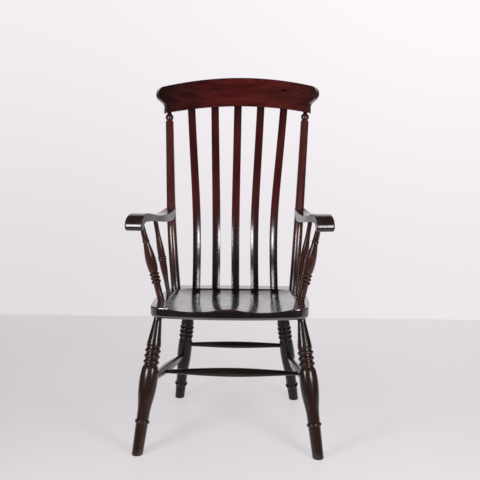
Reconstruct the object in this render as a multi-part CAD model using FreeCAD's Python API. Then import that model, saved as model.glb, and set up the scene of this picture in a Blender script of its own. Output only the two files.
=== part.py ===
import FreeCAD, Part
import math
import os

# A lath-back Windsor armchair in turned and bent wood, as separate pieces joined by round and flat tenons.
# Lengths are in millimetres and angles in degrees. The chair faces -Y and stands on Z = 0.
# Left and right are as seen from the front, with left on -X.

Vector = FreeCAD.Vector
UP = Vector(0, 0, 1)
LEFT = -1
RIGHT = 1
SIDES = {"left": LEFT, "right": RIGHT}

# Fits
joint_clearance = 0.15        # gap all round between a tenon and its socket
socket_end_gap = 0.8          # room left past a tenon's end
tenon_web = 6.0               # wood left between a leg's tenon and a lath's tenon over it
blind_cover = 13.0            # wood left under the tenons of posts and arm uprights

# Seat: reaches are from the seat's middle
seat_height = 432.0           # top of the front edge above the floor
seat_thickness = 35.0
seat_fall = 1.1               # slope of the seat down to the back
seat_front_reach = 217.0
seat_rear_reach = 216.0
seat_front_half_width = 237.0
seat_rear_half_width = 206.0
seat_front_bow = 26.0
seat_side_bow = 23.0
seat_rear_bow = 9.0
seat_front_corner_radius = 45.0
seat_rear_corner_radius = 35.0
seat_top_edge_radius = 4.0
seat_edge_radius = 11.0       # round of the underside's edge
saddle_depth = 15.5           # deepest part of the hollow
saddle_front_depth = 10.0     # depth of the thigh hollows at the front edge
saddle_side_margin = 33.0     # level border beside the hollow
saddle_rear_margin = 27.0     # level border in front of the laths
saddle_deepest_reach = 40.0   # deepest line, behind the seat's middle
saddle_steepness = 6          # power of the hollow's side walls
saddle_rear_steepness = 4
saddle_grid = 24              # steps each way over the hollow's surface
pommel_half_width = 55.0      # ridge between the thigh hollows
pommel_length = 230.0

# Legs: sockets are set in from the seat's edges and feet stand out from the sockets
front_socket_inset_x = 18.0
front_socket_inset_y = 65.0
front_splay_x = 50.0
front_splay_y = 117.0
rear_socket_inset_x = 49.0
rear_socket_inset_y = 59.0
rear_splay_x = 52.0
rear_splay_y = 83.0
leg_tenon_radius = 12.5
leg_foot_radius = 16.3
leg_foot_edge = 2.5           # worn edge round the foot
leg_ankle_radius = 18.4
leg_ankle_ring_width = 13.0
leg_ankle_ring_height = 4.0
leg_neck_radius = 20.3
leg_ring_width = 12.5
leg_ring_gap = 4.6
leg_ring_height = 4.0
leg_ring_count = 3
leg_top_bead_width = 8.0
leg_top_bead_height = 2.0
leg_cone_radius = 21.8        # wide end of the taper below the seat
leg_parallel_end = 14.0       # tenon showing below the seat

# Marks for the turnings of each pair of legs, as shares of the leg from the floor
front_ankle_mark = 0.217
front_bulb_mark = 0.525
front_neck_mark = 0.635
front_bulb_radius = 27.8
rear_ankle_mark = 0.132
rear_bulb_mark = 0.489
rear_neck_mark = 0.604
rear_bulb_radius = 25.0

# Stretchers: heights on the leg axes
side_stretcher_front_height = 203.0
side_stretcher_rear_height = 172.0
side_stretcher_radius = 15.5
rear_stretcher_rise = 40.0    # above the rear ends of the side stretchers
rear_stretcher_radius = 12.0
cross_stretcher_setback = 147.0   # along the side stretchers, from the front legs
cross_stretcher_radius = 14.8
stretcher_tenon_radius = 7.5
cross_tenon_radius = 6.5
stretcher_tip_inset = 4.0     # from a tenon's end to the middle of the piece it enters
stretcher_neck = 4.0          # straight length that shows outside the socket
swelling_start_pull = 0.36    # how steeply a stretcher's swelling starts
swelling_belly_pull = 0.38    # how flat it is at its middle

# Back: posts and laths stand on an arc on the seat and end on an arc under the crest rail
back_seat_inset = 41.0        # from the seat's rear edge to the laths
back_seat_radius = 480.0
back_crest_setback = 180.0    # from the laths' feet back to the middle of the crest's underside
back_crest_radius = 580.0
back_foot_lean = -1.5         # lean of posts and laths at the seat, forwards where negative
back_top_lean = 21.0          # lean of posts, laths and crest at the top, backwards
back_foot_pull = 0.425        # how far the foot's lean is held, as a share of the bar's span
back_top_pull = 0.54          # how far the top's lean is held
lath_count = 5
lath_width = 28.0
lath_thickness = 9.5
lath_crown = 1.6              # rise of each face at its middle
lath_edge_depth = 1.5         # from a face's end out to the round edge
lath_crest_spread = 1.03      # spacing at the crest, against an even spacing between the posts
lath_seat_tenon = 12.0
lath_crest_tenon = 26.0
post_seat_inset = 3.0         # inwards from the rear half width of the seat
post_crest_inset = 9.0        # inwards from the crest's lower corner
post_foot_radius = 16.6
post_radius = 14.2
post_tenon_radius = 11.5
post_ball_radius = 14.3
post_ball_drop = 18.4         # from the crest's underside to the ball's centre
post_shoulder_drop = 38.0     # from the crest's underside to the post's shoulder
post_neck_radius = 7.5        # also the tenon that enters the crest
post_crest_tenon_length = 28.0
bow_stations = 8              # steps along each bent bar

# Crest rail, in front elevation
crest_rise = 626.7            # from the seat's height to the underside at the centre
crest_depth = 105.7
crest_thickness = 23.0
crest_bottom_radius = 1200.0  # arch of the underside
crest_top_radius = 985.0      # arch of the top
crest_corner_x = 251.0        # lower corner of each ear
crest_waist_drop = 6.5        # from the underside at the centre to the start of the ear's hollow
crest_ear_reach = 29.0        # from the lower corner out to the ear's tip
crest_ear_rise = 41.4         # from the underside at the centre up to the ear's tip
crest_ear_top_inset = 29.0    # from the ear's tip in to where its curve meets the top
crest_waist_pull = 0.4        # fullness of the ear's curves
crest_under_ear_pull = 0.55
crest_over_ear_pull = 0.75
crest_top_pull = 0.4
crest_top_edge_radius = 8.0

# Arms: heights over the scroll's underside, runs forwards from the post, setbacks from the scroll's front
arm_rise = 227.0              # from the seat's height to the scroll's underside
arm_rear_inset = 16.0         # from the middle of the post to the arm's inner edge
arm_splay = 10.0              # turn of the arm outwards to the front
arm_width = 55.5
arm_rear_width = 36.0
arm_taper_run = 110.0         # pulls of the outer edge's curve towards the post
arm_taper_end_run = 30.0
arm_taper_end_inset = 4.0
arm_length = 337.0            # from the middle of the post to the front of the scroll
arm_rear_height = 12.5
arm_rear_thickness = 34.0
arm_rear_slope = 0.45         # fall of the arm where it leaves the post
arm_dip_run = 87.0
arm_dip_height = 5.0
arm_dip_thickness = 25.5
arm_middle_setback = 123.0
arm_middle_height = 19.0
arm_middle_thickness = 21.5
arm_crown_setback = 50.0
arm_crown_height = 23.5
arm_crown_thickness = 26.0
arm_nose_height = 14.0        # foremost line of the scroll
arm_scroll_thickness = 23.0
arm_hollow_height = 10.0      # lowest line of the hollow behind the scroll
arm_outer_edge_radius = 6.0
arm_inner_edge_radius = 2.5
arm_edge_wall_share = 0.3     # most of the scroll's thickness that a round edge may take

# Front arm supports and rear arm spindles: feet are set in from the seat's edges
support_foot_inset_x = 17.0
support_foot_inset_y = 131.0
support_head_setback = 50.0   # from the scroll's front
support_head_offset = 20.0    # from the arm's inner edge
support_foot_radius = 10.8
support_ring_mark = 0.231     # shares of the upright from the seat
support_collar_mark = 0.746
support_ring_width = 9.0
support_ring_gap = 3.4
support_ring_height = 4.6
support_ring_count = 3
support_neck_radius = 12.3
support_bulb_run = 36.0       # from the rings to the widest part
support_bulb_radius = 16.4
support_collar_width = 8.0
support_collar_height = 2.0
support_waist_radius = 9.4
support_tenon_radius = 8.0
spindle_foot_inset_x = 24.0
spindle_foot_inset_y = 244.0
spindle_head_run = 154.0
spindle_head_offset = 20.0
spindle_end_radius = 7.3
spindle_end_straight = 20.0   # parallel length at each end
spindle_middle_radius = 12.0
spindle_ring_width = 6.5
spindle_ring_gap = 1.6
spindle_ring_height = 2.2
upright_head_tenon = 14.0     # depth of both uprights in the arm

# Fixings
screw_length = 56.0
screw_radius = 2.4
screw_point_length = 7.0
screw_point_radius = 0.6
screw_head_radius = 4.6
screw_head_depth = 3.0
screw_crown_radius = 2.8      # flat on top of the head
screw_slot_width = 1.1
screw_slot_depth = 1.2
screw_sink = 1.0              # from the back of the post to the top of the head
peg_radius = 3.0
peg_height = 13.0             # above the crest's underside
peg_proud = 0.8
peg_front_cover = 5.0         # wood left in front of the peg

# Sizes and places that follow from those above
leg_tenon_length = seat_thickness - lath_seat_tenon - tenon_web
seat_tenon_length = seat_thickness - blind_cover
back_seat_y = seat_rear_reach - back_seat_inset
back_crest_y = back_seat_y + back_crest_setback
saddle_half_width = seat_front_half_width - saddle_side_margin
saddle_rear_reach = back_seat_y - saddle_rear_margin
post_seat_x = seat_rear_half_width - post_seat_inset
post_crest_x = crest_corner_x - post_crest_inset
lath_seat_spacing = 2 * post_seat_x / (lath_count + 1)
lath_crest_spacing = lath_crest_spread * 2 * post_crest_x / (lath_count + 1)
crest_bottom = seat_height + crest_rise
crest_top = crest_bottom + crest_depth
crest_waist_height = crest_bottom - crest_waist_drop
crest_ear_height = crest_bottom + crest_ear_rise
crest_ear_x = crest_corner_x + crest_ear_reach
crest_ear_top_x = crest_ear_x - crest_ear_top_inset
arm_level = seat_height + arm_rise
arm_middle_run = arm_length - arm_middle_setback
arm_crown_run = arm_length - arm_crown_setback
screw_height = arm_level + arm_rear_height + arm_rear_thickness / 2
NEARLY_ZERO = 0.001


def slope(angle):
    """Run for each unit of rise at this lean."""
    return math.tan(math.radians(angle))


def mirror_x(point):
    return Vector(-point.x, point.y, point.z)


def mix(a, b, share):
    return a + (b - a) * share


def rod(start, end, radius):
    """A round bar between two points."""
    along = end - start
    return Part.makeCylinder(radius, along.Length, start, along)


def arc_edge(start, middle, end):
    return Part.Arc(start, middle, end).toShape()


def line_edge(start, end):
    return Part.LineSegment(start, end).toShape()


def bezier_edge(*poles):
    curve = Part.BezierCurve()
    curve.setPoles(list(poles))
    return curve.toShape()


def spline_edge(points, start_direction, end_direction):
    curve = Part.BSplineCurve()
    curve.interpolate(Points=points, InitialTangent=start_direction, FinalTangent=end_direction)
    return curve.toShape()


def quarter_edge(start, corner, end):
    """A quarter of an oval from start to end, whose end tangents meet at the corner."""
    roundness = 4 * (math.sqrt(2) - 1) / 3
    return bezier_edge(start, mix(start, corner, roundness), mix(end, corner, roundness), end)


class Turning:
    """A lathe profile, drawn as radius against distance along the axis, and spun into a solid."""

    def __init__(self, start, radius):
        self.at = Vector(radius, 0, start)
        self.first = self.at
        self.edges = []

    def add(self, edge, end):
        self.edges.append(edge)
        self.at = end

    def taper(self, end, radius):
        point = Vector(radius, 0, end)
        self.add(line_edge(self.at, point), point)

    def step(self, radius):
        self.taper(self.at.z, radius)

    def bead(self, width, height):
        """A rounded ring, or a long swelling, that returns to the same radius."""
        point = self.at + Vector(0, 0, width)
        crown = self.at + Vector(height, 0, width / 2)
        self.add(arc_edge(self.at, crown, point), point)

    def swell(self, end, radius):
        """An S-shaped change of radius, parallel to the axis at both ends."""
        point = Vector(radius, 0, end)
        half = Vector(0, 0, (end - self.at.z) / 2)
        self.add(bezier_edge(self.at, self.at + half, point - half, point), point)

    def fatten(self, end, radius):
        """Widens almost evenly from an angle and ends parallel to the axis."""
        point = Vector(radius, 0, end)
        span = point - self.at
        first = self.at + Vector(swelling_start_pull * span.x, 0, span.z / 3)
        last = point - Vector(0, 0, swelling_belly_pull * span.z)
        self.add(bezier_edge(self.at, first, last, point), point)

    def slim(self, end, radius):
        """The reverse of fatten: leaves parallel to the axis and narrows almost evenly."""
        point = Vector(radius, 0, end)
        span = point - self.at
        first = self.at + Vector(0, 0, swelling_belly_pull * span.z)
        last = point - Vector(swelling_start_pull * span.x, 0, span.z / 3)
        self.add(bezier_edge(self.at, first, last, point), point)

    def round_in(self, end, radius):
        """A quarter oval that starts parallel to the axis and ends square to it."""
        point = Vector(radius, 0, end)
        self.add(quarter_edge(self.at, Vector(self.at.x, 0, end), point), point)

    def round_out(self, end, radius):
        """A quarter oval that starts square to the axis and ends parallel to it."""
        point = Vector(radius, 0, end)
        self.add(quarter_edge(self.at, Vector(radius, 0, self.at.z), point), point)

    def solid(self, origin, direction):
        """Spins the profile and stands it at the origin, along the direction."""
        foot = Vector(0, 0, self.first.z)
        head = Vector(0, 0, self.at.z)
        rim = [line_edge(foot, self.first)] + self.edges + [line_edge(self.at, head), line_edge(head, foot)]
        spun = Part.Face(Part.Wire(rim)).revolve(Vector(), UP, 360)
        spun.Placement = FreeCAD.Placement(origin, FreeCAD.Rotation(UP, direction))
        return spun


# Seat

def seat_top(y):
    """Height of the undished top at a distance behind the seat's middle."""
    return seat_height - (y + seat_front_reach) * slope(seat_fall)


def seat_underside(y):
    return seat_top(y) - seat_thickness / math.cos(math.radians(seat_fall))


def seat_placement():
    return FreeCAD.Placement(Vector(0, 0, seat_top(0)), FreeCAD.Rotation(Vector(1, 0, 0), -seat_fall))


def seat_board():
    """The seat before its hollow is cut: bowed edges, round corners and a soft rim."""
    front = Vector(seat_front_half_width, seat_front_bow - seat_front_reach, 0)
    rear = Vector(seat_rear_half_width, seat_rear_reach - seat_rear_bow, 0)
    side = mix(front, rear, 0.5) + Vector(seat_side_bow, 0, 0)
    outline = Part.Wire([
        arc_edge(mirror_x(front), Vector(0, -seat_front_reach, 0), front),
        arc_edge(front, side, rear),
        arc_edge(rear, Vector(0, seat_rear_reach, 0), mirror_x(rear)),
        arc_edge(mirror_x(rear), mirror_x(side), mirror_x(front)),
    ])
    board = Part.Face(outline).extrude(UP * -seat_thickness)
    uprights = [edge for edge in board.Edges if edge.BoundBox.ZLength > seat_thickness / 2]
    board = board.makeFillet(seat_front_corner_radius, [e for e in uprights if e.CenterOfMass.y < 0])
    uprights = [e for e in board.Edges if e.BoundBox.ZLength > seat_thickness / 2]
    sharp = [e for e in uprights if e.CenterOfMass.y > 0 and abs(abs(e.CenterOfMass.x) - rear.x) < NEARLY_ZERO]
    board = board.makeFillet(seat_rear_corner_radius, sharp)
    top_rim = [edge for edge in board.Edges if edge.BoundBox.ZMin > -NEARLY_ZERO]
    board = board.makeFillet(seat_top_edge_radius, top_rim)
    low_rim = [edge for edge in board.Edges if edge.BoundBox.ZMax < NEARLY_ZERO - seat_thickness]
    return board.makeFillet(seat_edge_radius, low_rim)


def saddle_level(x, y):
    """Height of the hollow's surface over the seat's top: negative inside the hollow."""
    forward = (saddle_deepest_reach - y) / (saddle_deepest_reach + seat_front_reach)
    depth = saddle_depth - (saddle_depth - saddle_front_depth) * forward ** 2
    walls = saddle_depth * (abs(x) / saddle_half_width) ** saddle_steepness
    past = max(0, y - saddle_deepest_reach) / (saddle_rear_reach - saddle_deepest_reach)
    rear_wall = saddle_depth * past ** saddle_rear_steepness
    ramp = max(0, pommel_length - seat_front_reach - y) / pommel_length
    pommel = saddle_front_depth * math.exp(-(x / pommel_half_width) ** 2) * ramp ** 2
    return walls + rear_wall + pommel - depth


def saddle_cutter():
    """Everything above the hollow's surface."""
    reach_x = seat_front_half_width + seat_side_bow
    first_y = -seat_front_reach - seat_edge_radius
    last_y = seat_rear_reach + seat_edge_radius
    shares = [step / saddle_grid for step in range(saddle_grid + 1)]
    xs = [mix(-reach_x, reach_x, share) for share in shares]
    ys = [mix(first_y, last_y, share) for share in shares]
    surface = Part.BSplineSurface()
    surface.interpolate([[Vector(x, y, saddle_level(x, y)) for y in ys] for x in xs])
    return surface.toShape().extrude(UP * 4 * seat_thickness)


def build_seat():
    seat = seat_board().cut(saddle_cutter())
    seat.Placement = seat_placement()
    cutters = [leg_socket(leg) for leg in LEGS]
    for side in SIDES.values():
        cutters.append(post_socket(side))
        cutters.append(support_foot_socket(side))
        cutters.append(spindle_foot_socket(side))
    cutters += [build_lath(number, joint_clearance) for number in range(lath_count)]
    return seat.cut(cutters)


# Legs

class Leg:
    """Where one leg stands, and the places of its turnings along its axis."""

    def __init__(self, name, side, socket, splay, marks, bulb_radius):
        self.name = name
        self.side = side
        self.socket = Vector(side * socket[0], socket[1], seat_underside(socket[1]))
        self.foot = Vector(self.socket.x + side * splay[0], self.socket.y + splay[1], 0)
        self.along = (self.socket - self.foot).normalize()
        self.length = (self.socket - self.foot).Length
        self.ankle, self.bulb, self.neck = [mark * self.length for mark in marks]
        self.bulb_radius = bulb_radius

    def at_height(self, z):
        """The point of the leg's axis at a height above the floor."""
        return mix(self.foot, self.socket, z / self.socket.z)


def make_leg(word, side, is_front):
    if is_front:
        socket = (seat_front_half_width - front_socket_inset_x, front_socket_inset_y - seat_front_reach)
        splay = (front_splay_x, -front_splay_y)
        marks = (front_ankle_mark, front_bulb_mark, front_neck_mark)
        return Leg("front_" + word + "_leg", side, socket, splay, marks, front_bulb_radius)
    socket = (seat_rear_half_width - rear_socket_inset_x, seat_rear_reach - rear_socket_inset_y)
    splay = (rear_splay_x, rear_splay_y)
    marks = (rear_ankle_mark, rear_bulb_mark, rear_neck_mark)
    return Leg("rear_" + word + "_leg", side, socket, splay, marks, rear_bulb_radius)


LEGS = [make_leg(word, side, is_front) for is_front in (True, False) for word, side in SIDES.items()]


def find_leg(side, is_front):
    start = "front" if is_front else "rear"
    return [leg for leg in LEGS if leg.side == side and leg.name.startswith(start)][0]


def leg_socket(leg):
    """The bore in the seat for a leg's tenon."""
    bottom = leg.foot + leg.along * (leg.length - leg_parallel_end)
    end = leg.foot + leg.along * (leg.length + leg_tenon_length + socket_end_gap)
    return rod(bottom, end, leg_tenon_radius + joint_clearance)


def build_leg(leg):
    """A turned leg, cut level with the floor."""
    turning = Turning(-leg_foot_radius, leg_foot_radius)
    turning.taper(leg.ankle, leg_ankle_radius)
    turning.bead(leg_ankle_ring_width, leg_ankle_ring_height)
    turning.swell(leg.bulb, leg.bulb_radius)
    turning.round_in(leg.neck, leg_neck_radius)
    for _ in range(leg_ring_count):
        turning.taper(turning.at.z + leg_ring_gap, leg_neck_radius)
        turning.bead(leg_ring_width, leg_ring_height)
    turning.taper(turning.at.z + leg_ring_gap, leg_neck_radius)
    turning.bead(leg_top_bead_width, leg_top_bead_height)
    turning.step(leg_cone_radius)
    turning.taper(leg.length - leg_parallel_end, leg_tenon_radius)
    turning.taper(leg.length + leg_tenon_length, leg_tenon_radius)
    solid = turning.solid(leg.foot, leg.along)
    reach = 4 * leg_foot_radius
    below = Part.makeBox(2 * reach, 2 * reach, reach, leg.foot - Vector(reach, reach, reach))
    solid = solid.cut(below)
    sole = [edge for edge in solid.Edges if edge.BoundBox.ZMax < NEARLY_ZERO]
    solid = solid.makeFillet(leg_foot_edge, sole)
    bores = [stretcher.bore_at(leg) for stretcher in LEG_STRETCHERS if stretcher.enters(leg)]
    return solid.cut(bores)


# Stretchers

class Stretcher:
    """A bar between the axes of two pieces, with a round tenon at each end."""

    def __init__(self, name, start, end, radius, tenon_radius, hosts, host_radii):
        self.name = name
        self.start = start
        self.end = end
        self.radius = radius
        self.tenon_radius = tenon_radius
        self.hosts = hosts
        self.host_radii = host_radii
        self.along = (end - start).normalize()
        self.length = (end - start).Length

    def enters(self, host):
        return host in self.hosts

    def bore_at(self, host):
        """The blind hole in one of its two hosts."""
        at_start = host is self.hosts[0]
        axis_point = self.start if at_start else self.end
        inward = self.along if at_start else self.along * -1
        reach = 2 * max(self.host_radii)
        bottom = axis_point + inward * (stretcher_tip_inset - socket_end_gap)
        return rod(bottom, axis_point + inward * reach, self.tenon_radius + joint_clearance)

    def solid(self):
        first_swell = self.host_radii[0] + stretcher_neck
        last_swell = self.length - self.host_radii[1] - stretcher_neck
        turning = Turning(stretcher_tip_inset, self.tenon_radius)
        turning.taper(first_swell, self.tenon_radius)
        turning.fatten((first_swell + last_swell) / 2, self.radius)
        turning.slim(last_swell, self.tenon_radius)
        turning.taper(self.length - stretcher_tip_inset, self.tenon_radius)
        return turning.solid(self.start, self.along)


def make_side_stretcher(word, side):
    front = find_leg(side, True)
    rear = find_leg(side, False)
    return Stretcher(word + "_side_stretcher", front.at_height(side_stretcher_front_height),
                     rear.at_height(side_stretcher_rear_height), side_stretcher_radius,
                     stretcher_tenon_radius, [front, rear], [front.bulb_radius, rear.bulb_radius])


def make_rear_stretcher():
    legs = [find_leg(side, False) for side in (LEFT, RIGHT)]
    points = [leg.at_height(side_stretcher_rear_height + rear_stretcher_rise) for leg in legs]
    radii = [leg.bulb_radius for leg in legs]
    return Stretcher("rear_stretcher", points[0], points[1], rear_stretcher_radius,
                     stretcher_tenon_radius, legs, radii)


def make_cross_stretcher(side_stretchers):
    points = [bar.start + bar.along * cross_stretcher_setback for bar in side_stretchers]
    radii = [bar.radius for bar in side_stretchers]
    return Stretcher("front_cross_stretcher", points[0], points[1], cross_stretcher_radius,
                     cross_tenon_radius, side_stretchers, radii)


SIDE_STRETCHERS = [make_side_stretcher(word, side) for word, side in SIDES.items()]
REAR_STRETCHER = make_rear_stretcher()
CROSS_STRETCHER = make_cross_stretcher(SIDE_STRETCHERS)
LEG_STRETCHERS = SIDE_STRETCHERS + [REAR_STRETCHER]


def build_side_stretcher(bar):
    return bar.solid().cut(CROSS_STRETCHER.bore_at(bar))


# Back layout

def arc_drop(x, radius):
    """How far an arc falls away from its crown at a distance to the side."""
    return radius - math.sqrt(radius ** 2 - x ** 2)


def seat_arc_point(x):
    y = back_seat_y - arc_drop(x, back_seat_radius)
    return Vector(x, y, seat_top(y))


def crest_underside(x):
    return crest_bottom - arc_drop(x, crest_bottom_radius)


def crest_middle_y(x, z):
    """Middle of the crest's thickness."""
    return back_crest_y + (z - crest_bottom) * slope(back_top_lean) - arc_drop(x, back_crest_radius)


def crest_arc_point(x):
    z = crest_underside(x)
    return Vector(x, crest_middle_y(x, z), z)


def bow_poles(foot, foot_direction, top, top_direction):
    """Poles of a bent bar that leaves the foot and reaches the top in the given directions."""
    span = (top - foot).Length
    low_pole = foot + foot_direction * (back_foot_pull * span)
    high_pole = top - top_direction * (back_top_pull * span)
    return [foot, low_pole, high_pole, top]


# Back laths

class Lath:
    """The bent middle line of one lath, and the way across its face."""

    def __init__(self, number):
        place = number - (lath_count - 1) / 2
        foot = seat_arc_point(place * lath_seat_spacing)
        top = crest_arc_point(place * lath_crest_spacing)
        turn = (math.asin(foot.x / back_seat_radius) + math.asin(top.x / back_crest_radius)) / 2
        back = Vector(math.sin(turn), math.cos(turn), 0)
        chord = top - foot
        rise = (chord - back * chord.dot(back)).normalize()
        self.across = rise.cross(back)
        self.foot_direction = (rise + back * slope(back_foot_lean)).normalize()
        self.top_direction = (rise + back * slope(back_top_lean)).normalize()
        self.curve = Part.BezierCurve()
        self.curve.setPoles(bow_poles(foot, self.foot_direction, top, self.top_direction))

    def section(self, share, grow):
        """The cut across the lath at a share of its length: two crowned faces and two round edges."""
        centre = self.curve.value(share)
        back = Vector(*self.curve.tangent(share)[0]).cross(self.across).normalize()
        half_width = lath_width / 2 + grow
        half_thickness = lath_thickness / 2 + grow
        face_end = half_width - lath_edge_depth
        shoulder = half_thickness - lath_crown

        def at(sideways, backwards):
            return centre + self.across * sideways + back * backwards

        return Part.Wire([
            arc_edge(at(-face_end, shoulder), at(0, half_thickness), at(face_end, shoulder)),
            arc_edge(at(face_end, shoulder), at(half_width, 0), at(face_end, -shoulder)),
            arc_edge(at(face_end, -shoulder), at(0, -half_thickness), at(-face_end, -shoulder)),
            arc_edge(at(-face_end, -shoulder), at(-half_width, 0), at(-face_end, shoulder)),
        ])


def build_lath(number, grow=0.0):
    """A bent lath with its two tenons; grow makes the tool that cuts its mortises."""
    lath = Lath(number)
    end_room = socket_end_gap if grow else 0.0
    cuts = [lath.section(station / bow_stations, grow) for station in range(bow_stations + 1)]
    bar = Part.makeLoft(cuts, True)
    low_tenon = Part.Face(cuts[0]).extrude(lath.foot_direction * -(lath_seat_tenon + end_room))
    high_tenon = Part.Face(cuts[-1]).extrude(lath.top_direction * (lath_crest_tenon + end_room))
    return bar.fuse([low_tenon, high_tenon]).removeSplitter()


# Back posts

class Post:
    """The line of one bent post, from the seat to its shoulder under the crest."""

    def __init__(self, side):
        self.foot = seat_arc_point(side * post_seat_x)
        self.joint = crest_arc_point(side * post_crest_x)
        rise = self.joint.z - self.foot.z
        sideways = (self.joint.x - self.foot.x) / rise
        self.foot_direction = Vector(sideways, slope(back_foot_lean), 1).normalize()
        self.top_direction = Vector(sideways, slope(back_top_lean), 1).normalize()
        self.shoulder = self.joint - self.top_direction * post_shoulder_drop
        self.curve = Part.BezierCurve()
        self.curve.setPoles(bow_poles(self.foot, self.foot_direction, self.shoulder, self.top_direction))

    def radius_at(self, share):
        return mix(post_foot_radius, post_radius, share)

    def at_height(self, z):
        """The point of the post's middle line at a height."""
        level = Part.Plane(Vector(0, 0, z), UP).toShape()
        return self.curve.toShape().distToShape(level)[1][0][0]


POSTS = {side: Post(side) for side in SIDES.values()}


def ring_wire(centre, direction, radius):
    circle = Part.Wire(Part.makeCircle(radius))
    circle.Placement = FreeCAD.Placement(centre, FreeCAD.Rotation(UP, direction))
    return circle


def post_shaft(post, grow=0.0):
    """The bent round bar from the seat to the shoulder."""
    rings = []
    for station in range(bow_stations + 1):
        share = station / bow_stations
        direction = Vector(*post.curve.tangent(share)[0])
        rings.append(ring_wire(post.curve.value(share), direction, post.radius_at(share) + grow))
    return Part.makeLoft(rings, True)


def post_finial(post):
    """Shoulder, neck, ball and the tenon that enters the crest."""
    ball_centre = post_shoulder_drop - post_ball_drop
    ball_half = math.sqrt(post_ball_radius ** 2 - post_neck_radius ** 2)
    turning = Turning(0, post_radius)
    turning.round_in(ball_centre - ball_half, post_neck_radius)
    turning.bead(2 * ball_half, post_ball_radius - post_neck_radius)
    turning.taper(post_shoulder_drop + post_crest_tenon_length, post_neck_radius)
    return turning.solid(post.shoulder, post.top_direction)


def post_socket(side):
    post = POSTS[side]
    end = post.foot - post.foot_direction * (seat_tenon_length + socket_end_gap)
    start = post.foot + post.foot_direction * post_tenon_radius
    return rod(start, end, post_tenon_radius + joint_clearance)


def crest_post_socket(side):
    post = POSTS[side]
    start = post.joint - post.top_direction * post_neck_radius
    end = post.joint + post.top_direction * (post_crest_tenon_length + socket_end_gap)
    return rod(start, end, post_neck_radius + joint_clearance)


def below_seat_top():
    """Everything under the plane of the undished seat."""
    reach = 4 * seat_front_half_width
    block = Part.makeBox(reach, reach, seat_height, Vector(-reach / 2, -reach / 2, -seat_height))
    block.Placement = seat_placement()
    return block


def build_post(side):
    post = POSTS[side]
    stub = rod(post.foot - post.foot_direction * post_foot_radius, post.foot, post_foot_radius)
    shaft = post_shaft(post).fuse(stub).cut(below_seat_top())
    tenon = rod(post.foot - post.foot_direction * seat_tenon_length,
                post.foot + post.foot_direction * post_tenon_radius, post_tenon_radius)
    whole = shaft.fuse([post_finial(post), tenon]).removeSplitter()
    return whole.cut([screw_hole(side), peg_solid(side, joint_clearance)])


# Crest rail

def crest_slab():
    """The curved, leaning board that the crest is cut from."""
    low = crest_underside(crest_ear_x) - crest_thickness
    high = crest_top + crest_thickness
    centre = Vector(0, crest_middle_y(0, low) - back_crest_radius, low)
    swing = math.asin(crest_ear_x / back_crest_radius) + crest_thickness / back_crest_radius
    arcs = []
    for radius in (back_crest_radius - crest_thickness / 2, back_crest_radius + crest_thickness / 2):
        points = [centre + Vector(radius * math.sin(a), radius * math.cos(a), 0) for a in (-swing, 0, swing)]
        arcs.append(points)
    inner, outer = arcs
    band = Part.Wire([
        arc_edge(*inner),
        line_edge(inner[2], outer[2]),
        arc_edge(*reversed(outer)),
        line_edge(outer[0], inner[0]),
    ])
    rise = high - low
    return Part.Face(band).extrude(Vector(0, rise * slope(back_top_lean), rise))


def crest_elevation():
    """The arched outline seen from the front, without its ears, as a prism through the slab."""
    reach = crest_ear_x + crest_thickness
    low_end = crest_underside(reach)
    high_end = crest_top - arc_drop(reach, crest_top_radius)
    outline = Part.Wire([
        arc_edge(Vector(-reach, 0, low_end), Vector(0, 0, crest_bottom), Vector(reach, 0, low_end)),
        line_edge(Vector(reach, 0, low_end), Vector(reach, 0, high_end)),
        arc_edge(Vector(reach, 0, high_end), Vector(0, 0, crest_top), Vector(-reach, 0, high_end)),
        line_edge(Vector(-reach, 0, high_end), Vector(-reach, 0, low_end)),
    ])
    return Part.Face(outline).extrude(Vector(0, 2 * back_crest_radius, 0))


def ear_cutter(side):
    """What is cut away outside one ear, squarely across the curve of the board."""
    low = crest_underside(crest_ear_x) - crest_thickness
    high = crest_top + crest_thickness
    turn = math.asin(crest_ear_x / back_crest_radius)
    tip_y = crest_middle_y(crest_ear_x, crest_ear_height) - crest_thickness / (2 * math.cos(turn))

    def on_face(x, z):
        """A point of the plane that lies against the front of the board at the ear's tip."""
        y = tip_y + (crest_ear_x - x) * math.tan(turn) + (z - crest_ear_height) * slope(back_top_lean)
        return Vector(side * x, y, z)

    corner_low = on_face(crest_corner_x, low)
    waist = on_face(crest_corner_x, crest_waist_height)
    tip = on_face(crest_ear_x, crest_ear_height)
    top_z = crest_top - arc_drop(crest_ear_top_x, crest_top_radius)
    top = on_face(crest_ear_top_x, top_z)
    top_run = crest_top_pull * crest_ear_top_inset
    top_fall = top_run * crest_ear_top_x / crest_top_radius
    top_pull = on_face(crest_ear_top_x + top_run, top_z - top_fall)
    over_tip = on_face(crest_ear_x, mix(crest_ear_height, top_z, crest_over_ear_pull))
    under_tip = on_face(crest_ear_x, mix(crest_ear_height, crest_waist_height, crest_under_ear_pull))
    waist_pull = on_face(crest_corner_x, mix(crest_waist_height, crest_ear_height, crest_waist_pull))
    far_x = crest_ear_x + 3 * crest_thickness
    outline = Part.Wire([
        line_edge(corner_low, waist),
        bezier_edge(waist, waist_pull, under_tip, tip),
        bezier_edge(tip, over_tip, top_pull, top),
        line_edge(top, on_face(crest_ear_top_x, high)),
        line_edge(on_face(crest_ear_top_x, high), on_face(far_x, high)),
        line_edge(on_face(far_x, high), on_face(far_x, low)),
        line_edge(on_face(far_x, low), corner_low),
    ])
    through = Vector(side * math.sin(turn), math.cos(turn), 0) * (4 * crest_thickness)
    outline.translate(through * -0.5)
    return Part.Face(outline).extrude(through)


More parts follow.
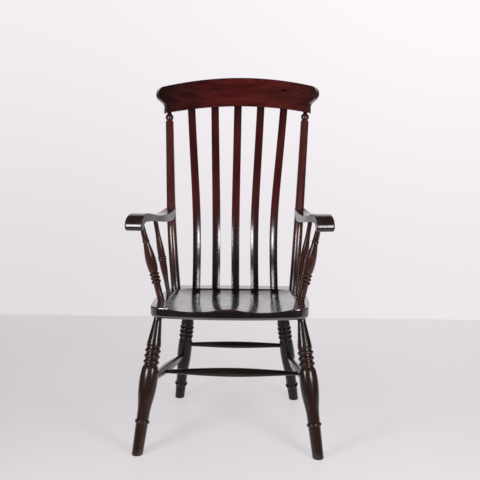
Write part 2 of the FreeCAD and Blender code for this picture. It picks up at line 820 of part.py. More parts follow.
def soften_crest(crest):
    """Rounds the two long top edges."""
    long_edges = [edge for edge in crest.Edges if edge.BoundBox.XLength > crest_corner_x]
    tops = [edge for edge in long_edges if edge.BoundBox.ZMin > crest_ear_height]
    return crest.makeFillet(crest_top_edge_radius, tops)


def build_crest():
    crest = crest_slab().common(crest_elevation())
    crest = crest.cut([ear_cutter(LEFT), ear_cutter(RIGHT)])
    crest = soften_crest(crest)
    cutters = [build_lath(number, joint_clearance) for number in range(lath_count)]
    for side in SIDES.values():
        cutters.append(crest_post_socket(side))
        cutters.append(peg_solid(side, joint_clearance))
    return crest.cut(cutters)


# Arms

class ArmLine:
    """The run of one arm in plan: forwards from the post along its inner edge."""

    def __init__(self, side):
        self.side = side
        post = POSTS[side].at_height(screw_height)
        self.origin = Vector(post.x - side * arm_rear_inset, post.y, arm_level)
        turn = math.radians(arm_splay)
        self.forward = Vector(side * math.sin(turn), -math.cos(turn), 0)
        self.outward = Vector(side * math.cos(turn), math.sin(turn), 0)

    def point(self, run, offset, z):
        """A point at a run along the arm, an offset outwards from its inner edge, and a height over it."""
        return self.origin + self.forward * run + self.outward * offset + UP * z


ARM_LINES = {side: ArmLine(side) for side in SIDES.values()}


def arm_profile(line):
    """The arm seen from the side: a shallow dip, a crown and a scroll that turns down at the front."""
    def at(run, z):
        return line.point(run, 0, z)

    forward = line.forward
    rear_way = (forward - UP * arm_rear_slope).normalize()
    scroll_back = arm_length - arm_scroll_thickness
    crown = at(arm_crown_run, arm_crown_height + arm_crown_thickness)
    nose = at(arm_length, arm_nose_height)
    bottom = at(arm_length - arm_scroll_thickness / 2, 0)
    hollow_end = at(scroll_back, arm_hollow_height)
    hollow_start = at(arm_crown_run, arm_crown_height)
    rear_top = at(0, arm_rear_height + arm_rear_thickness)
    rear_underside = at(0, arm_rear_height)
    top_points = [rear_top, at(arm_dip_run, arm_dip_height + arm_dip_thickness),
                  at(arm_middle_run, arm_middle_height + arm_middle_thickness), crown]
    under_points = [hollow_start, at(arm_middle_run, arm_middle_height),
                    at(arm_dip_run, arm_dip_height), rear_underside]
    return Part.Wire([
        spline_edge(top_points, rear_way, forward),
        quarter_edge(crown, at(arm_length, arm_crown_height + arm_crown_thickness), nose),
        quarter_edge(nose, at(arm_length, 0), bottom),
        quarter_edge(bottom, at(scroll_back, 0), hollow_end),
        quarter_edge(hollow_end, at(scroll_back, arm_crown_height), hollow_start),
        spline_edge(under_points, forward * -1, rear_way * -1),
        line_edge(rear_underside, rear_top),
    ])


def arm_plan(line):
    """The arm seen from above, its outer edge drawn in towards the post."""
    front = arm_length + arm_scroll_thickness
    rear = -arm_inner_edge_radius

    def at(run, offset):
        return line.point(run, offset, -arm_width)

    outer_curve = [at(front, arm_width), at(arm_taper_run, arm_width),
                   at(arm_taper_end_run, arm_width - arm_taper_end_inset), at(rear, arm_rear_width)]
    outline = Part.Wire([
        line_edge(at(rear, 0), at(front, 0)),
        line_edge(at(front, 0), outer_curve[0]),
        bezier_edge(*outer_curve),
        line_edge(outer_curve[3], at(rear, 0)),
    ])
    return Part.Face(outline).extrude(UP * 3 * arm_width)


def soften_arm(line, arm):
    """Rounds the long edges: broadly along the outside, slightly along the inside."""
    def runs_along(edge):
        first, last = [vertex.Point for vertex in edge.Vertexes]
        return abs((last - first).dot(line.forward)) > arm_inner_edge_radius

    def offset_of(edge):
        return (edge.discretize(3)[1] - line.origin).dot(line.outward)

    outer_radius = min(arm_outer_edge_radius, arm_edge_wall_share * arm_scroll_thickness)
    outside = [edge for edge in arm.Edges if runs_along(edge) and offset_of(edge) > arm_rear_width]
    arm = arm.makeFillet(outer_radius, outside)
    inside = [edge for edge in arm.Edges if runs_along(edge) and abs(offset_of(edge)) < NEARLY_ZERO]
    return arm.makeFillet(arm_inner_edge_radius, inside)


def build_arm(side):
    line = ARM_LINES[side]
    board = Part.Face(arm_profile(line)).extrude(line.outward * 2 * arm_width)
    arm = soften_arm(line, board.common(arm_plan(line)).Solids[0])
    cutters = [post_shaft(POSTS[side], joint_clearance), support_head_socket(side),
               spindle_head_socket(side), screw_hole(side)]
    return arm.cut(cutters)


# Uprights under the arms

class Upright:
    """The axis of a turned upright from the seat to the arm's underside."""

    def __init__(self, side, inset_x, inset_y, head_run, head_offset):
        foot_y = inset_y - seat_front_reach
        self.foot = Vector(side * (seat_front_half_width - inset_x), foot_y, seat_top(foot_y))
        self.head = ARM_LINES[side].point(head_run, head_offset, arm_underside_at(head_run))
        self.along = (self.head - self.foot).normalize()
        self.length = (self.head - self.foot).Length

    def foot_socket(self, radius):
        end = self.foot - self.along * (seat_tenon_length + socket_end_gap)
        return rod(end, self.foot + self.along * seat_tenon_length, radius + joint_clearance)

    def head_socket(self, radius):
        end = self.head + self.along * (upright_head_tenon + socket_end_gap)
        return rod(self.head - self.along * upright_head_tenon, end, radius + joint_clearance)


def arm_underside_at(run):
    """Height of the arm's underside over the scroll's, at a run from the post."""
    line = ARM_LINES[RIGHT]
    below = line.point(run, 0, -arm_width)
    plumb = line_edge(below, line.point(run, 0, arm_width))
    crossings = plumb.distToShape(arm_profile(line))[1]
    return min(crossing[0].z for crossing in crossings) - arm_level


def make_uprights(inset_x, inset_y, head_run, head_offset):
    return {side: Upright(side, inset_x, inset_y, head_run, head_offset) for side in SIDES.values()}


SUPPORTS = make_uprights(support_foot_inset_x, support_foot_inset_y, arm_length - support_head_setback,
                         support_head_offset)
SPINDLES = make_uprights(spindle_foot_inset_x, spindle_foot_inset_y, spindle_head_run, spindle_head_offset)


def support_foot_socket(side):
    return SUPPORTS[side].foot_socket(support_foot_radius)


def support_head_socket(side):
    return SUPPORTS[side].head_socket(support_tenon_radius)


def spindle_foot_socket(side):
    return SPINDLES[side].foot_socket(spindle_end_radius)


def spindle_head_socket(side):
    return SPINDLES[side].head_socket(spindle_end_radius)


def build_support(side):
    """A baluster: three rings low down, a bulb above them and a collar near the head."""
    upright = SUPPORTS[side]
    turning = Turning(-seat_tenon_length, support_foot_radius)
    turning.taper(support_ring_mark * upright.length, support_foot_radius)
    for _ in range(support_ring_count):
        turning.bead(support_ring_width, support_ring_height)
        turning.taper(turning.at.z + support_ring_gap, support_foot_radius)
    turning.step(support_neck_radius)
    turning.round_out(turning.at.z + support_bulb_run, support_bulb_radius)
    turning.slim(support_collar_mark * upright.length, support_waist_radius)
    turning.bead(support_collar_width, support_collar_height)
    turning.swell(upright.length - upright_head_tenon, support_tenon_radius)
    turning.taper(upright.length + upright_head_tenon, support_tenon_radius)
    return turning.solid(upright.foot, upright.along)


def build_spindle(side):
    """A slim spindle that swells to a double ring at its middle."""
    upright = SPINDLES[side]
    middle = upright.length / 2
    ring_run = 2 * spindle_ring_width + spindle_ring_gap
    turning = Turning(-seat_tenon_length, spindle_end_radius)
    turning.taper(spindle_end_straight, spindle_end_radius)
    turning.swell(middle - ring_run / 2, spindle_middle_radius)
    turning.bead(spindle_ring_width, spindle_ring_height)
    turning.taper(turning.at.z + spindle_ring_gap, spindle_middle_radius)
    turning.bead(spindle_ring_width, spindle_ring_height)
    turning.swell(upright.length - spindle_end_straight, spindle_end_radius)
    turning.taper(upright.length + upright_head_tenon, spindle_end_radius)
    return turning.solid(upright.foot, upright.along)


# Fixings

def screw_axis(side):
    """The top of a screw's head behind the post, and the way it is driven into the arm."""
    line = ARM_LINES[side]
    post = POSTS[side].at_height(screw_height)
    way = line.forward
    return post - way * (post_radius - screw_sink), way


def screw_hole(side):
    """The bore through post and arm, with a round recess for the head."""
    top, way = screw_axis(side)
    head_seat = top + way * screw_head_depth
    recess = rod(top - way * post_foot_radius, head_seat, screw_head_radius + joint_clearance)
    shank = rod(head_seat, top + way * (screw_length + socket_end_gap), screw_radius + joint_clearance)
    return recess.fuse(shank)


def build_screw(side):
    """A round-headed wood screw with a slot and a point."""
    top, way = screw_axis(side)
    turning = Turning(0, screw_crown_radius)
    turning.round_out(screw_head_depth / 2, screw_head_radius)
    turning.taper(screw_head_depth, screw_head_radius)
    turning.step(screw_radius)
    turning.taper(screw_length - screw_point_length, screw_radius)
    turning.taper(screw_length, screw_point_radius)
    screw = turning.solid(top, way)
    slot = Part.makeBox(4 * screw_head_radius, screw_slot_width, 2 * screw_slot_depth,
                        Vector(-2 * screw_head_radius, -screw_slot_width / 2, -screw_slot_depth))
    slot.Placement = FreeCAD.Placement(top, FreeCAD.Rotation(UP, way))
    return screw.cut(slot)


def peg_solid(side, grow=0.0):
    """A wooden peg driven from behind through the crest and the post's tenon."""
    post = POSTS[side]
    centre = post.joint + post.top_direction * peg_height
    turn = math.asin(centre.x / back_crest_radius)
    back = Vector(math.sin(turn), math.cos(turn), 0)
    start = centre + back * (crest_thickness / 2 + peg_proud)
    end = centre - back * (crest_thickness / 2 - peg_front_cover + grow)
    return rod(start, end, peg_radius + grow)


def build_all():
    """Every piece by its name, as one solid each or as a group of equal fixings."""
    pieces = {"seat": build_seat(), "crest_rail": build_crest()}
    for leg in LEGS:
        pieces[leg.name] = build_leg(leg)
    for bar in SIDE_STRETCHERS:
        pieces[bar.name] = build_side_stretcher(bar)
    for bar in (CROSS_STRETCHER, REAR_STRETCHER):
        pieces[bar.name] = bar.solid()
    for number in range(lath_count):
        pieces["back_lath_" + str(number + 1)] = build_lath(number)
    for word, side in SIDES.items():
        pieces[word + "_back_post"] = build_post(side)
        pieces[word + "_arm"] = build_arm(side)
        pieces[word + "_front_arm_support"] = build_support(side)
        pieces[word + "_rear_arm_spindle"] = build_spindle(side)
    pieces["arm_screws"] = Part.makeCompound([build_screw(side) for side in SIDES.values()])
    pieces["crest_pegs"] = Part.makeCompound([peg_solid(side) for side in SIDES.values()])
    return pieces


def centre_over_origin(pieces):
    """Moves everything so that the origin lies on the floor under the middle of the chair's box."""
    box = Part.makeCompound(list(pieces.values())).optimalBoundingBox(False, False)
    shift = Vector(-box.Center.x, -box.Center.y, -box.ZMin)
    for shape in pieces.values():
        shape.translate(shift)
    return shift


def export(pieces):
    os.makedirs("parts", exist_ok=True)
    for name, shape in pieces.items():
        shape.exportStep("parts/" + name + ".step")


def main():
    pieces = build_all()
    shift = centre_over_origin(pieces)
    export(pieces)
    print("origin moved by", [round(value, 3) for value in shift])


if __name__ == "__main__":
    main()
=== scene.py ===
"""Looks of a lath-back windsor armchair: stained and polished wood, two steel screws, a pale studio."""
import math
from dataclasses import dataclass

import bpy
import numpy as np
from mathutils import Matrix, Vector

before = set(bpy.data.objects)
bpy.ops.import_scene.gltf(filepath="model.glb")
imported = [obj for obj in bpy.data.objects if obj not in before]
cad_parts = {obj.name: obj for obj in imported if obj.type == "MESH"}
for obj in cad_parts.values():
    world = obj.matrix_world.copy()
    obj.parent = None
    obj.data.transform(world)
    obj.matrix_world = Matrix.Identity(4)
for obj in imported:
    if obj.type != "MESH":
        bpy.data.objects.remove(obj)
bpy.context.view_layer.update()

# Places are in metres and colours are linear values, in the chair's own frame: +Z up, the sitter looks along -Y.

# Camera
CAMERA_PLACE = (0.1390, -2.3651, 0.9020)
CAMERA_TURN = (82.869, 0.0, 2.831)  # degrees
CAMERA_LENS = 54.04                 # millimetres, for the sensor below
CAMERA_SENSOR = 36.0

# Floor and wall: the level that the camera sees runs from the first value to the second over each range
PALE = (1.0, 0.955, 0.99)
BOARD_COLOUR = (0.88, 0.845, 0.87)
FLOOR_FRONT = -0.9
FLOOR_HALF_WIDTH = 2.5
FLOOR_ROUGHNESS = 0.4
FLOOR_GLOW = 0.6                    # share of the floor's level that no shadow falls on
FLOOR_CLOUD_SCALE = 1.2
FLOOR_CLOUD_TINTS = (0.97, 1.03)
FLOOR_X_RANGE = (-1.2, 1.0)
FLOOR_X_LEVELS = (0.70, 0.845)
FLOOR_Y_RANGE = (-0.4, 1.4)
FLOOR_Y_RISE = (0.0, 0.125)
WALL_PLACE = 1.462
WALL_HALF_WIDTH = 1.38
WALL_HEIGHT = 2.4
WALL_X_RANGE = (-1.3, 1.1)
WALL_X_DRIFT = (-0.04, 0.05)
WALL_Z_RANGE = (0.0, 1.8)
WALL_Z_LEVELS = (0.79, 0.935)

# Light
BACKGROUND = 0.85                   # round the chair, as the camera sees it
ROOM_LIGHT = 0.3                    # soft light from all round
ROOM_MIRRORED = 0.03                # the dim room that shows in the polish
SOFTBOX_SIZE = (0.42, 0.39)
SOFTBOX_AIM = (0.0, 0.1, 0.855)
SOFTBOX_POWER = 12.5                # watts
SOFTBOXES = {
    "left_softbox": (-0.90, -1.22, 0.855),
    "right_softbox": (0.90, -1.22, 0.855),
}

# Wood: sizes are across, across and along the grain
HEART_OFFSET = (0.05, 0.03, 0.0)    # from the middle of a piece to the heart of its tree
FIGURE_SIZE = (0.018, 0.018, 0.22)
FIGURE_TONE = (0.0, 0.65)
RING_STRETCH = (1.0, 1.0, 9.0)
RING_WAVE = {"Scale": 80.0, "Distortion": 5.0, "Detail": 2.0, "Detail Scale": 0.25}
RING_TONE = (0.0, 0.35)
RING_HEIGHT = 0.35                  # against a pore's depth of 1
STAIN_TONES = (0.6, 1.45)
PORE_SIZE = (0.0009, 0.0009, 0.014)
PORE_RANGE = (0.56, 0.7)
PORE_TINT = (0.3, 0.25, 0.25, 1.0)
PORE_DARKNESS = (0.0, 0.5)
PORE_ROUGHNESS = 0.1
PATCH_SCALE = 22.0
PATCH_RANGE = (0.35, 0.7)
PATCH_ROUGHNESS = (0.2, 0.34)
# Hollows and joints are darkened by how near other surfaces are: grime there, and painted shade
HOLLOW_REACH = 0.012
HOLLOW_RANGE = (0.45, 0.95)
HOLLOW_GRIME_AND_SHADE = (0.7, 0.0)
GRIME_AND_SHADE_TINT = (0.25, 0.2, 0.18, 1.0)
EDGE_REACH = 0.004
EDGE_RANGE = (0.55, 0.95)
RUB_RANGE = (0.4, 0.65)
RUBBED_WOOD = (0.11, 0.055, 0.035, 1.0)
REACH_SAMPLES = 8
MARK_RANGE = (0.5, 1.1)
MARK_TINT = (0.2, 0.25, 0.25, 1.0)
GRAIN_RELIEF = {"Strength": 0.25, "Distance": 0.0003}
SWAY_SIZE = (0.016, 0.016, 0.12)
SWAY_RELIEF = {"Strength": 0.06, "Distance": 0.0006}
WOOD_IOR = 1.5

# Steel
RUST_SCALE = 420.0
RUST_RANGE = (0.45, 0.65)
RUST_COLOUR = (0.06, 0.03, 0.018, 1.0)
SCRATCH_SIZE = (0.0004, 0.0004, 0.006)
SCRATCH_RELIEF = {"Strength": 0.2, "Distance": 0.0002}
STEEL_TONES = ((0.3, (0.16, 0.15, 0.14)), (0.7, (0.30, 0.28, 0.26)))
STEEL_SHINE = (0.9, 0.2)            # bare steel, rust
STEEL_PATCH_RANGE = (0.3, 0.7)
STEEL_ROUGHNESS = (0.35, 0.6)

FULL = (0.0, 1.0)
FADING = (1.0, 0.0)


@dataclass
class Look:
    """A kind of piece: colours along one axis of the chair, which are its stain and, on the rear legs and the seat
    top, also painted light and shade, how far its edges are rubbed, and its polish.

    The polish is a clear coat with an index of refraction and a roughness; gloss is the shine of the wood under it.
    Grain is the direction of the wood where it isn't the piece's longest one.
    """

    along: str
    stain_and_painted_light: tuple
    rubbed: float = 0.4
    polish: float = 1.6
    polish_roughness: float = 0.2
    gloss: float = 0.1
    grain: tuple = None


CREST_LOOK = Look(
    along="X",
    stain_and_painted_light=(
        (-0.29, (0.009, 0.005, 0.004)),
        (-0.20, (0.042, 0.008, 0.008)),
        (-0.04, (0.085, 0.009, 0.0085)),
        (0.14, (0.088, 0.013, 0.010)),
        (0.22, (0.070, 0.013, 0.011)),
        (0.29, (0.040, 0.014, 0.012)),
    ),
    polish=1.45,
    grain=(1.0, 0.0, 0.0),
)
LATH_LOOK = Look(
    along="Z",
    stain_and_painted_light=(
        # Darker near the seat and just under the crest
        (0.43, (0.006, 0.004, 0.004)),
        (0.58, (0.022, 0.006, 0.006)),
        (0.72, (0.060, 0.008, 0.008)),
        (0.95, (0.062, 0.009, 0.008)),
        (1.05, (0.030, 0.006, 0.006)),
    ),
)
POST_LOOK = Look(
    along="Z",
    stain_and_painted_light=(
        (0.43, (0.010, 0.006, 0.006)),
        (0.56, (0.050, 0.017, 0.014)),
        (0.90, (0.085, 0.018, 0.014)),
        (1.01, (0.075, 0.016, 0.013)),
        (1.03, (0.012, 0.007, 0.006)),
        (1.08, (0.012, 0.007, 0.006)),
    ),
    polish_roughness=0.24,
)
ARM_LOOK = Look(
    along="Y",
    stain_and_painted_light=((-0.20, (0.024, 0.012, 0.010)), (0.10, (0.040, 0.016, 0.013))),
    rubbed=0.6,
    polish=1.5,
)
SEAT_LOOK = Look(
    along="Z",
    stain_and_painted_light=(
        (0.40, (0.006, 0.0025, 0.002)),
        (0.425, (0.008, 0.003, 0.0025)),
        # The top is painted far lighter and pinker than its rim: a painted sheen standing in for the pale wall
        # mirrored in its polish
        (0.436, (0.070, 0.024, 0.028)),
    ),
    polish=2.2,
    polish_roughness=0.15,
    gloss=0.3,
    grain=(0.0, 1.0, 0.0),
)
LEG_LOOK = Look(
    along="Z",
    stain_and_painted_light=(
        (0.00, (0.060, 0.040, 0.030)),
        (0.02, (0.024, 0.013, 0.010)),
        (0.12, (0.026, 0.012, 0.009)),
        (0.42, (0.014, 0.006, 0.005)),
    ),
    rubbed=0.5,
    polish=1.35,
)
# Rear legs and rear stretcher: their dark colour is painted shade, for the shadow under the chair; the paler foot
# is wear
REAR_SHADE_LOOK = Look(
    along="Z",
    stain_and_painted_light=(
        (0.00, (0.020, 0.013, 0.011)),
        (0.02, (0.008, 0.005, 0.005)),
        (0.42, (0.005, 0.003, 0.003)),
    ),
    rubbed=0.5,
    polish=1.3,
)
STRETCHER_LOOK = Look(
    along="Y",
    stain_and_painted_light=((-0.25, (0.010, 0.005, 0.004)), (0.20, (0.006, 0.004, 0.0035))),
    rubbed=0.5,
    polish=1.33,
)
UPRIGHT_LOOK = Look(
    along="Z",
    stain_and_painted_light=((0.43, (0.034, 0.012, 0.009)), (0.70, (0.044, 0.014, 0.011))),
    rubbed=0.5,
    polish=1.35,
)
PEG_LOOK = Look(
    along="Z",
    stain_and_painted_light=((1.04, (0.026, 0.010, 0.008)), (1.10, (0.026, 0.010, 0.008))),
    grain=(0.0, 1.0, 0.0),
)

# Each key is the beginning or the end of a piece's name; the first that fits counts.
LOOKS = {
    "seat": SEAT_LOOK,
    "crest_rail": CREST_LOOK,
    "crest_pegs": PEG_LOOK,
    "rear_left_leg": REAR_SHADE_LOOK,
    "rear_right_leg": REAR_SHADE_LOOK,
    "rear_stretcher": REAR_SHADE_LOOK,
    "_leg": LEG_LOOK,
    "_stretcher": STRETCHER_LOOK,
    "_post": POST_LOOK,
    "back_lath": LATH_LOOK,
    "_arm": ARM_LOOK,
    "_support": UPRIGHT_LOOK,
    "_spindle": UPRIGHT_LOOK,
}

# Single dark marks in the polish: piece, middle, half sizes.
MARKS = {
    "crest_rail": ((0.169, 0.280, 1.114), (0.011, 0.050, 0.006)),
    "back_lath_1": ((-0.130, 0.096, 0.558), (0.006, 0.030, 0.005)),
}


class Shader:
    """A node tree of a material or the world, with one short call for each kind of node."""

    def __init__(self, owner):
        owner.use_nodes = True
        self.tree = owner.node_tree
        self.tree.nodes.clear()

    def add(self, kind, inputs=None, **settings):
        node = self.tree.nodes.new("ShaderNode" + kind)
        for setting, value in settings.items():
            setattr(node, setting, value)
        for socket, value in (inputs or {}).items():
            if isinstance(value, bpy.types.NodeSocket):
                self.tree.links.new(value, node.inputs[socket])
            else:
                node.inputs[socket].default_value = value
        return node

    def place(self):
        return self.add("TexCoord").outputs["Object"]

    def coordinate(self, axis):
        return self.add("SeparateXYZ", {"Vector": self.place()}).outputs[axis]

    def noise(self, vector, scale=1.0, detail=2.0):
        return self.add("TexNoise", {"Vector": vector, "Scale": scale, "Detail": detail}).outputs["Fac"]

    def stretch(self, vector, size):
        return self.add("VectorMath", {0: vector, 1: size}, operation="DIVIDE").outputs["Vector"]

    def span(self, value, limits, results=FULL):
        """Smooth change from the first result to the second while the value passes through its limits."""
        inputs = {
            "Value": value,
            "From Min": limits[0],
            "From Max": limits[1],
            "To Min": results[0],
            "To Max": results[1],
        }
        return self.add("MapRange", inputs, interpolation_type="SMOOTHSTEP").outputs["Result"]

    def math(self, operation, first, second):
        return self.add("Math", {0: first, 1: second}, operation=operation).outputs["Value"]

    def ramp(self, value, stops):
        """Colours at places along a range, given as pairs of place and colour."""
        low, high = stops[0][0], stops[-1][0]
        share = self.add("MapRange", {"Value": value, "From Min": low, "From Max": high})
        node = self.add("ValToRGB", {"Fac": share.outputs["Result"]})
        points = node.color_ramp.elements
        while len(points) < len(stops):
            points.new(1.0)
        for point, (place, colour) in zip(points, stops):
            point.position = (place - low) / (high - low)
            point.color = (*colour, 1.0)
        return node.outputs["Color"]

    def mix(self, kind, factor, first, second):
        inputs = {"Factor": factor, 6: first, 7: second}
        return self.add("Mix", inputs, data_type="RGBA", blend_type=kind).outputs[2]

    def grey(self, value):
        return self.add("CombineColor", {"Red": value, "Green": value, "Blue": value}).outputs["Color"]

    def bump(self, height, relief):
        return self.add("Bump", {"Height": height, **relief}).outputs["Normal"]

    def nearness(self, reach, inside=False):
        """1 where no surface is within reach, less in hollows, or near edges when seen from inside the wood."""
        node = self.add("AmbientOcclusion", {"Distance": reach}, samples=REACH_SAMPLES, inside=inside)
        return node.outputs["AO"]

    def surface(self, shader):
        self.add("OutputMaterial", {"Surface": shader})


def grain_line(piece):
    """Middle of a piece and the direction it is longest in, which is how its wood is cut."""
    points = np.array([corner.co for corner in piece.data.vertices])
    middle = points.mean(axis=0)
    ways = np.linalg.svd(points - middle, full_matrices=False)[2]
    return Vector(middle), Vector(ways[0])


def grain_space(shader, piece, look):
    """Coordinates in metres whose Z runs along the piece's grain, with the tree's heart off to one side."""
    middle, way = grain_line(piece)
    if look.grain:
        way = Vector(look.grain)
    turn = way.to_track_quat("Z", "Y").to_euler()
    heart = middle + turn.to_matrix() @ Vector(HEART_OFFSET)
    inputs = {"Vector": shader.place(), "Location": heart, "Rotation": turn}
    return shader.add("Mapping", inputs, vector_type="TEXTURE").outputs["Vector"]


def dark_mark(shader, middle, half_size):
    """1 in the middle of a soft dark spot, 0 outside it."""
    away = shader.add("VectorMath", {0: shader.place(), 1: middle}, operation="SUBTRACT").outputs["Vector"]
    share = shader.stretch(away, half_size)
    length = shader.add("VectorMath", {0: share}, operation="LENGTH").outputs["Value"]
    return shader.span(length, MARK_RANGE, FADING)


def wood(piece, look):
    """Stained wood under polish: growth rings, pores, grime and painted shade in the hollows and where pieces meet,
    pale rubbed edges.
    """
    material = bpy.data.materials.new(piece.name + "_wood")
    shader = Shader(material)
    grain = grain_space(shader, piece, look)
    figure = shader.noise(shader.stretch(grain, FIGURE_SIZE), detail=4.0)
    wave = {"Vector": shader.stretch(grain, RING_STRETCH), **RING_WAVE}
    rings = shader.add("TexWave", wave, wave_type="RINGS", rings_direction="Z").outputs["Fac"]
    pores = shader.span(shader.noise(shader.stretch(grain, PORE_SIZE), detail=1.0), PORE_RANGE)
    patches = shader.noise(shader.place(), scale=PATCH_SCALE, detail=3.0)
    sway = shader.noise(shader.stretch(grain, SWAY_SIZE), detail=1.0)

    # Colours along the piece: its stain, with painted shade on the rear legs and a painted sheen on the seat top
    stain_and_painted_light = shader.ramp(shader.coordinate(look.along), look.stain_and_painted_light)
    figure_tone = shader.span(figure, (0.3, 0.7), FIGURE_TONE)
    tone = shader.math("ADD", figure_tone, shader.span(rings, FULL, RING_TONE))
    colour = shader.mix("MULTIPLY", 1.0, stain_and_painted_light, shader.grey(shader.span(tone, FULL, STAIN_TONES)))
    colour = shader.mix("MULTIPLY", shader.span(pores, FULL, PORE_DARKNESS), colour, PORE_TINT)
    # Grime with painted shade: darker in hollows and where pieces meet, from how near other surfaces are
    grime_and_shade = shader.span(shader.nearness(HOLLOW_REACH), HOLLOW_RANGE, HOLLOW_GRIME_AND_SHADE)
    colour = shader.mix("MULTIPLY", grime_and_shade, colour, GRIME_AND_SHADE_TINT)
    edge = shader.span(shader.nearness(EDGE_REACH, inside=True), EDGE_RANGE, FADING)
    rub = shader.math("MULTIPLY", edge, shader.span(patches, RUB_RANGE, (0.0, look.rubbed)))
    colour = shader.mix("MIX", rub, colour, RUBBED_WOOD)
    if piece.name in MARKS:
        colour = shader.mix("MULTIPLY", dark_mark(shader, *MARKS[piece.name]), colour, MARK_TINT)

    smooth = shader.span(patches, PATCH_RANGE, PATCH_ROUGHNESS)
    rough = shader.math("ADD", smooth, shader.math("MULTIPLY", pores, PORE_ROUGHNESS))
    relief = shader.math("SUBTRACT", shader.math("MULTIPLY", rings, RING_HEIGHT), pores)
    body = shader.add("BsdfPrincipled", {
        "Base Color": colour,
        "Roughness": rough,
        "Normal": shader.bump(relief, GRAIN_RELIEF),
        "IOR": WOOD_IOR,
        "Specular IOR Level": look.gloss,
        "Coat Weight": 1.0,
        "Coat Roughness": look.polish_roughness,
        "Coat IOR": look.polish,
        "Coat Normal": shader.bump(sway, SWAY_RELIEF),
    })
    shader.surface(body.outputs["BSDF"])
    return material


def dull_steel(piece):
    """Old steel: brushed, browned in patches."""
    material = bpy.data.materials.new(piece.name + "_steel")
    shader = Shader(material)
    patches = shader.noise(shader.place(), scale=RUST_SCALE, detail=4.0)
    scratches = shader.noise(shader.stretch(shader.place(), SCRATCH_SIZE), detail=2.0)
    rust = shader.span(patches, RUST_RANGE)
    body = shader.add("BsdfPrincipled", {
        "Base Color": shader.mix("MIX", rust, shader.ramp(scratches, STEEL_TONES), RUST_COLOUR),
        "Metallic": shader.span(rust, FULL, STEEL_SHINE),
        "Roughness": shader.span(patches, STEEL_PATCH_RANGE, STEEL_ROUGHNESS),
        "Normal": shader.bump(scratches, SCRATCH_RELIEF),
    })
    shader.surface(body.outputs["BSDF"])
    return material


def look_of(name):
    return next(look for key, look in LOOKS.items() if name.endswith(key) or name.startswith(key))


def dress_pieces():
    for name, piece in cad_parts.items():
        material = dull_steel(piece) if name == "arm_screws" else wood(piece, look_of(name))
        piece.data.materials.clear()
        piece.data.materials.append(material)


def plane(name, corners, material):
    mesh = bpy.data.meshes.new(name)
    mesh.from_pydata(corners, [], [(0, 1, 2, 3)])
    mesh.materials.append(material)
    thing = bpy.data.objects.new(name, mesh)
    bpy.context.scene.collection.objects.link(thing)


def seen_rays(shader):
    """1 for what the camera sees, straight or in a reflection."""
    rays = shader.add("LightPath").outputs
    seen = shader.math("MAXIMUM", rays["Is Camera Ray"], rays["Is Glossy Ray"])
    return shader.math("MAXIMUM", seen, rays["Is Transmission Ray"])


def pale_glow(shader, level):
    return shader.add("Emission", {"Color": (*PALE, 1.0), "Strength": level}).outputs["Emission"]


def floor_material():
    """A pale floor with a soft sheen, partly seen at its own level so that shadows stay faint."""
    material = bpy.data.materials.new("floor_board")
    shader = Shader(material)
    cloud = shader.noise(shader.place(), scale=FLOOR_CLOUD_SCALE, detail=3.0)
    tint = shader.grey(shader.span(cloud, (0.3, 0.7), FLOOR_CLOUD_TINTS))
    body = shader.add("BsdfPrincipled", {
        "Base Color": shader.mix("MULTIPLY", 1.0, (*BOARD_COLOUR, 1.0), tint),
        "Roughness": FLOOR_ROUGHNESS,
    })
    across = shader.span(shader.coordinate("X"), FLOOR_X_RANGE, FLOOR_X_LEVELS)
    back = shader.span(shader.coordinate("Y"), FLOOR_Y_RANGE, FLOOR_Y_RISE)
    glow = pale_glow(shader, shader.math("ADD", across, back))
    share = shader.math("MULTIPLY", seen_rays(shader), FLOOR_GLOW)
    whole = shader.add("MixShader", {0: share, 1: body.outputs["BSDF"], 2: glow})
    shader.surface(whole.outputs["Shader"])
    return material


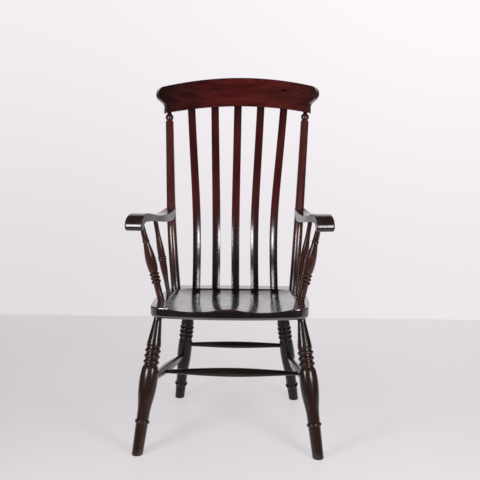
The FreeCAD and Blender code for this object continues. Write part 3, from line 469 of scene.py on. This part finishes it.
def wall_material():
    """A pale wall that the camera and reflections see at its own level; open from behind."""
    material = bpy.data.materials.new("wall_board")
    shader = Shader(material)
    rise = shader.span(shader.coordinate("Z"), WALL_Z_RANGE, WALL_Z_LEVELS)
    drift = shader.span(shader.coordinate("X"), WALL_X_RANGE, WALL_X_DRIFT)
    glow = pale_glow(shader, shader.math("ADD", rise, drift))
    board = shader.add("BsdfDiffuse", {"Color": (*BOARD_COLOUR, 1.0)})
    front = shader.add("MixShader", {0: seen_rays(shader), 1: board.outputs["BSDF"], 2: glow})
    behind = shader.add("NewGeometry").outputs["Backfacing"]
    clear = shader.add("BsdfTransparent").outputs["BSDF"]
    whole = shader.add("MixShader", {0: behind, 1: front.outputs["Shader"], 2: clear})
    shader.surface(whole.outputs["Shader"])
    return material


def build_stage():
    wide, near, far = FLOOR_HALF_WIDTH, FLOOR_FRONT, WALL_PLACE
    plane("floor", ((-wide, near, 0), (wide, near, 0), (wide, far, 0), (-wide, far, 0)), floor_material())
    wide, high = WALL_HALF_WIDTH, WALL_HEIGHT
    plane("wall", ((-wide, far, 0), (wide, far, 0), (wide, far, high), (-wide, far, high)), wall_material())


def build_world():
    """Soft light from all round in a room that looks pale to the camera and dim in the polish."""
    world = bpy.data.worlds.new("studio")
    bpy.context.scene.world = world
    shader = Shader(world)
    rays = shader.add("LightPath").outputs
    mirrored = shader.span(rays["Is Glossy Ray"], FULL, (ROOM_LIGHT, ROOM_MIRRORED))
    seen = shader.math("MAXIMUM", rays["Is Camera Ray"], rays["Is Transmission Ray"])
    level = shader.math("ADD", mirrored, shader.math("MULTIPLY", seen, BACKGROUND - ROOM_LIGHT))
    glow = shader.add("Background", {"Color": (*PALE, 1.0), "Strength": level})
    shader.add("OutputWorld", {"Surface": glow.outputs["Background"]})


def build_lamps():
    for name, place in SOFTBOXES.items():
        lamp = bpy.data.lights.new(name, "AREA")
        lamp.shape = "RECTANGLE"
        lamp.size, lamp.size_y = SOFTBOX_SIZE
        lamp.energy = SOFTBOX_POWER
        box = bpy.data.objects.new(name, lamp)
        box.visible_camera = False
        box.location = place
        aim = Vector(SOFTBOX_AIM) - Vector(place)
        box.rotation_euler = aim.to_track_quat("-Z", "Y").to_euler()
        bpy.context.scene.collection.objects.link(box)


def build_camera():
    lens = bpy.data.cameras.new("camera")
    lens.lens = CAMERA_LENS
    lens.sensor_width = CAMERA_SENSOR
    camera = bpy.data.objects.new("camera", lens)
    camera.location = CAMERA_PLACE
    camera.rotation_euler = [math.radians(turn) for turn in CAMERA_TURN]
    bpy.context.scene.collection.objects.link(camera)
    bpy.context.scene.camera = camera
    bpy.context.scene.view_settings.view_transform = "Standard"


dress_pieces()
build_stage()
build_world()
build_lamps()
build_camera()
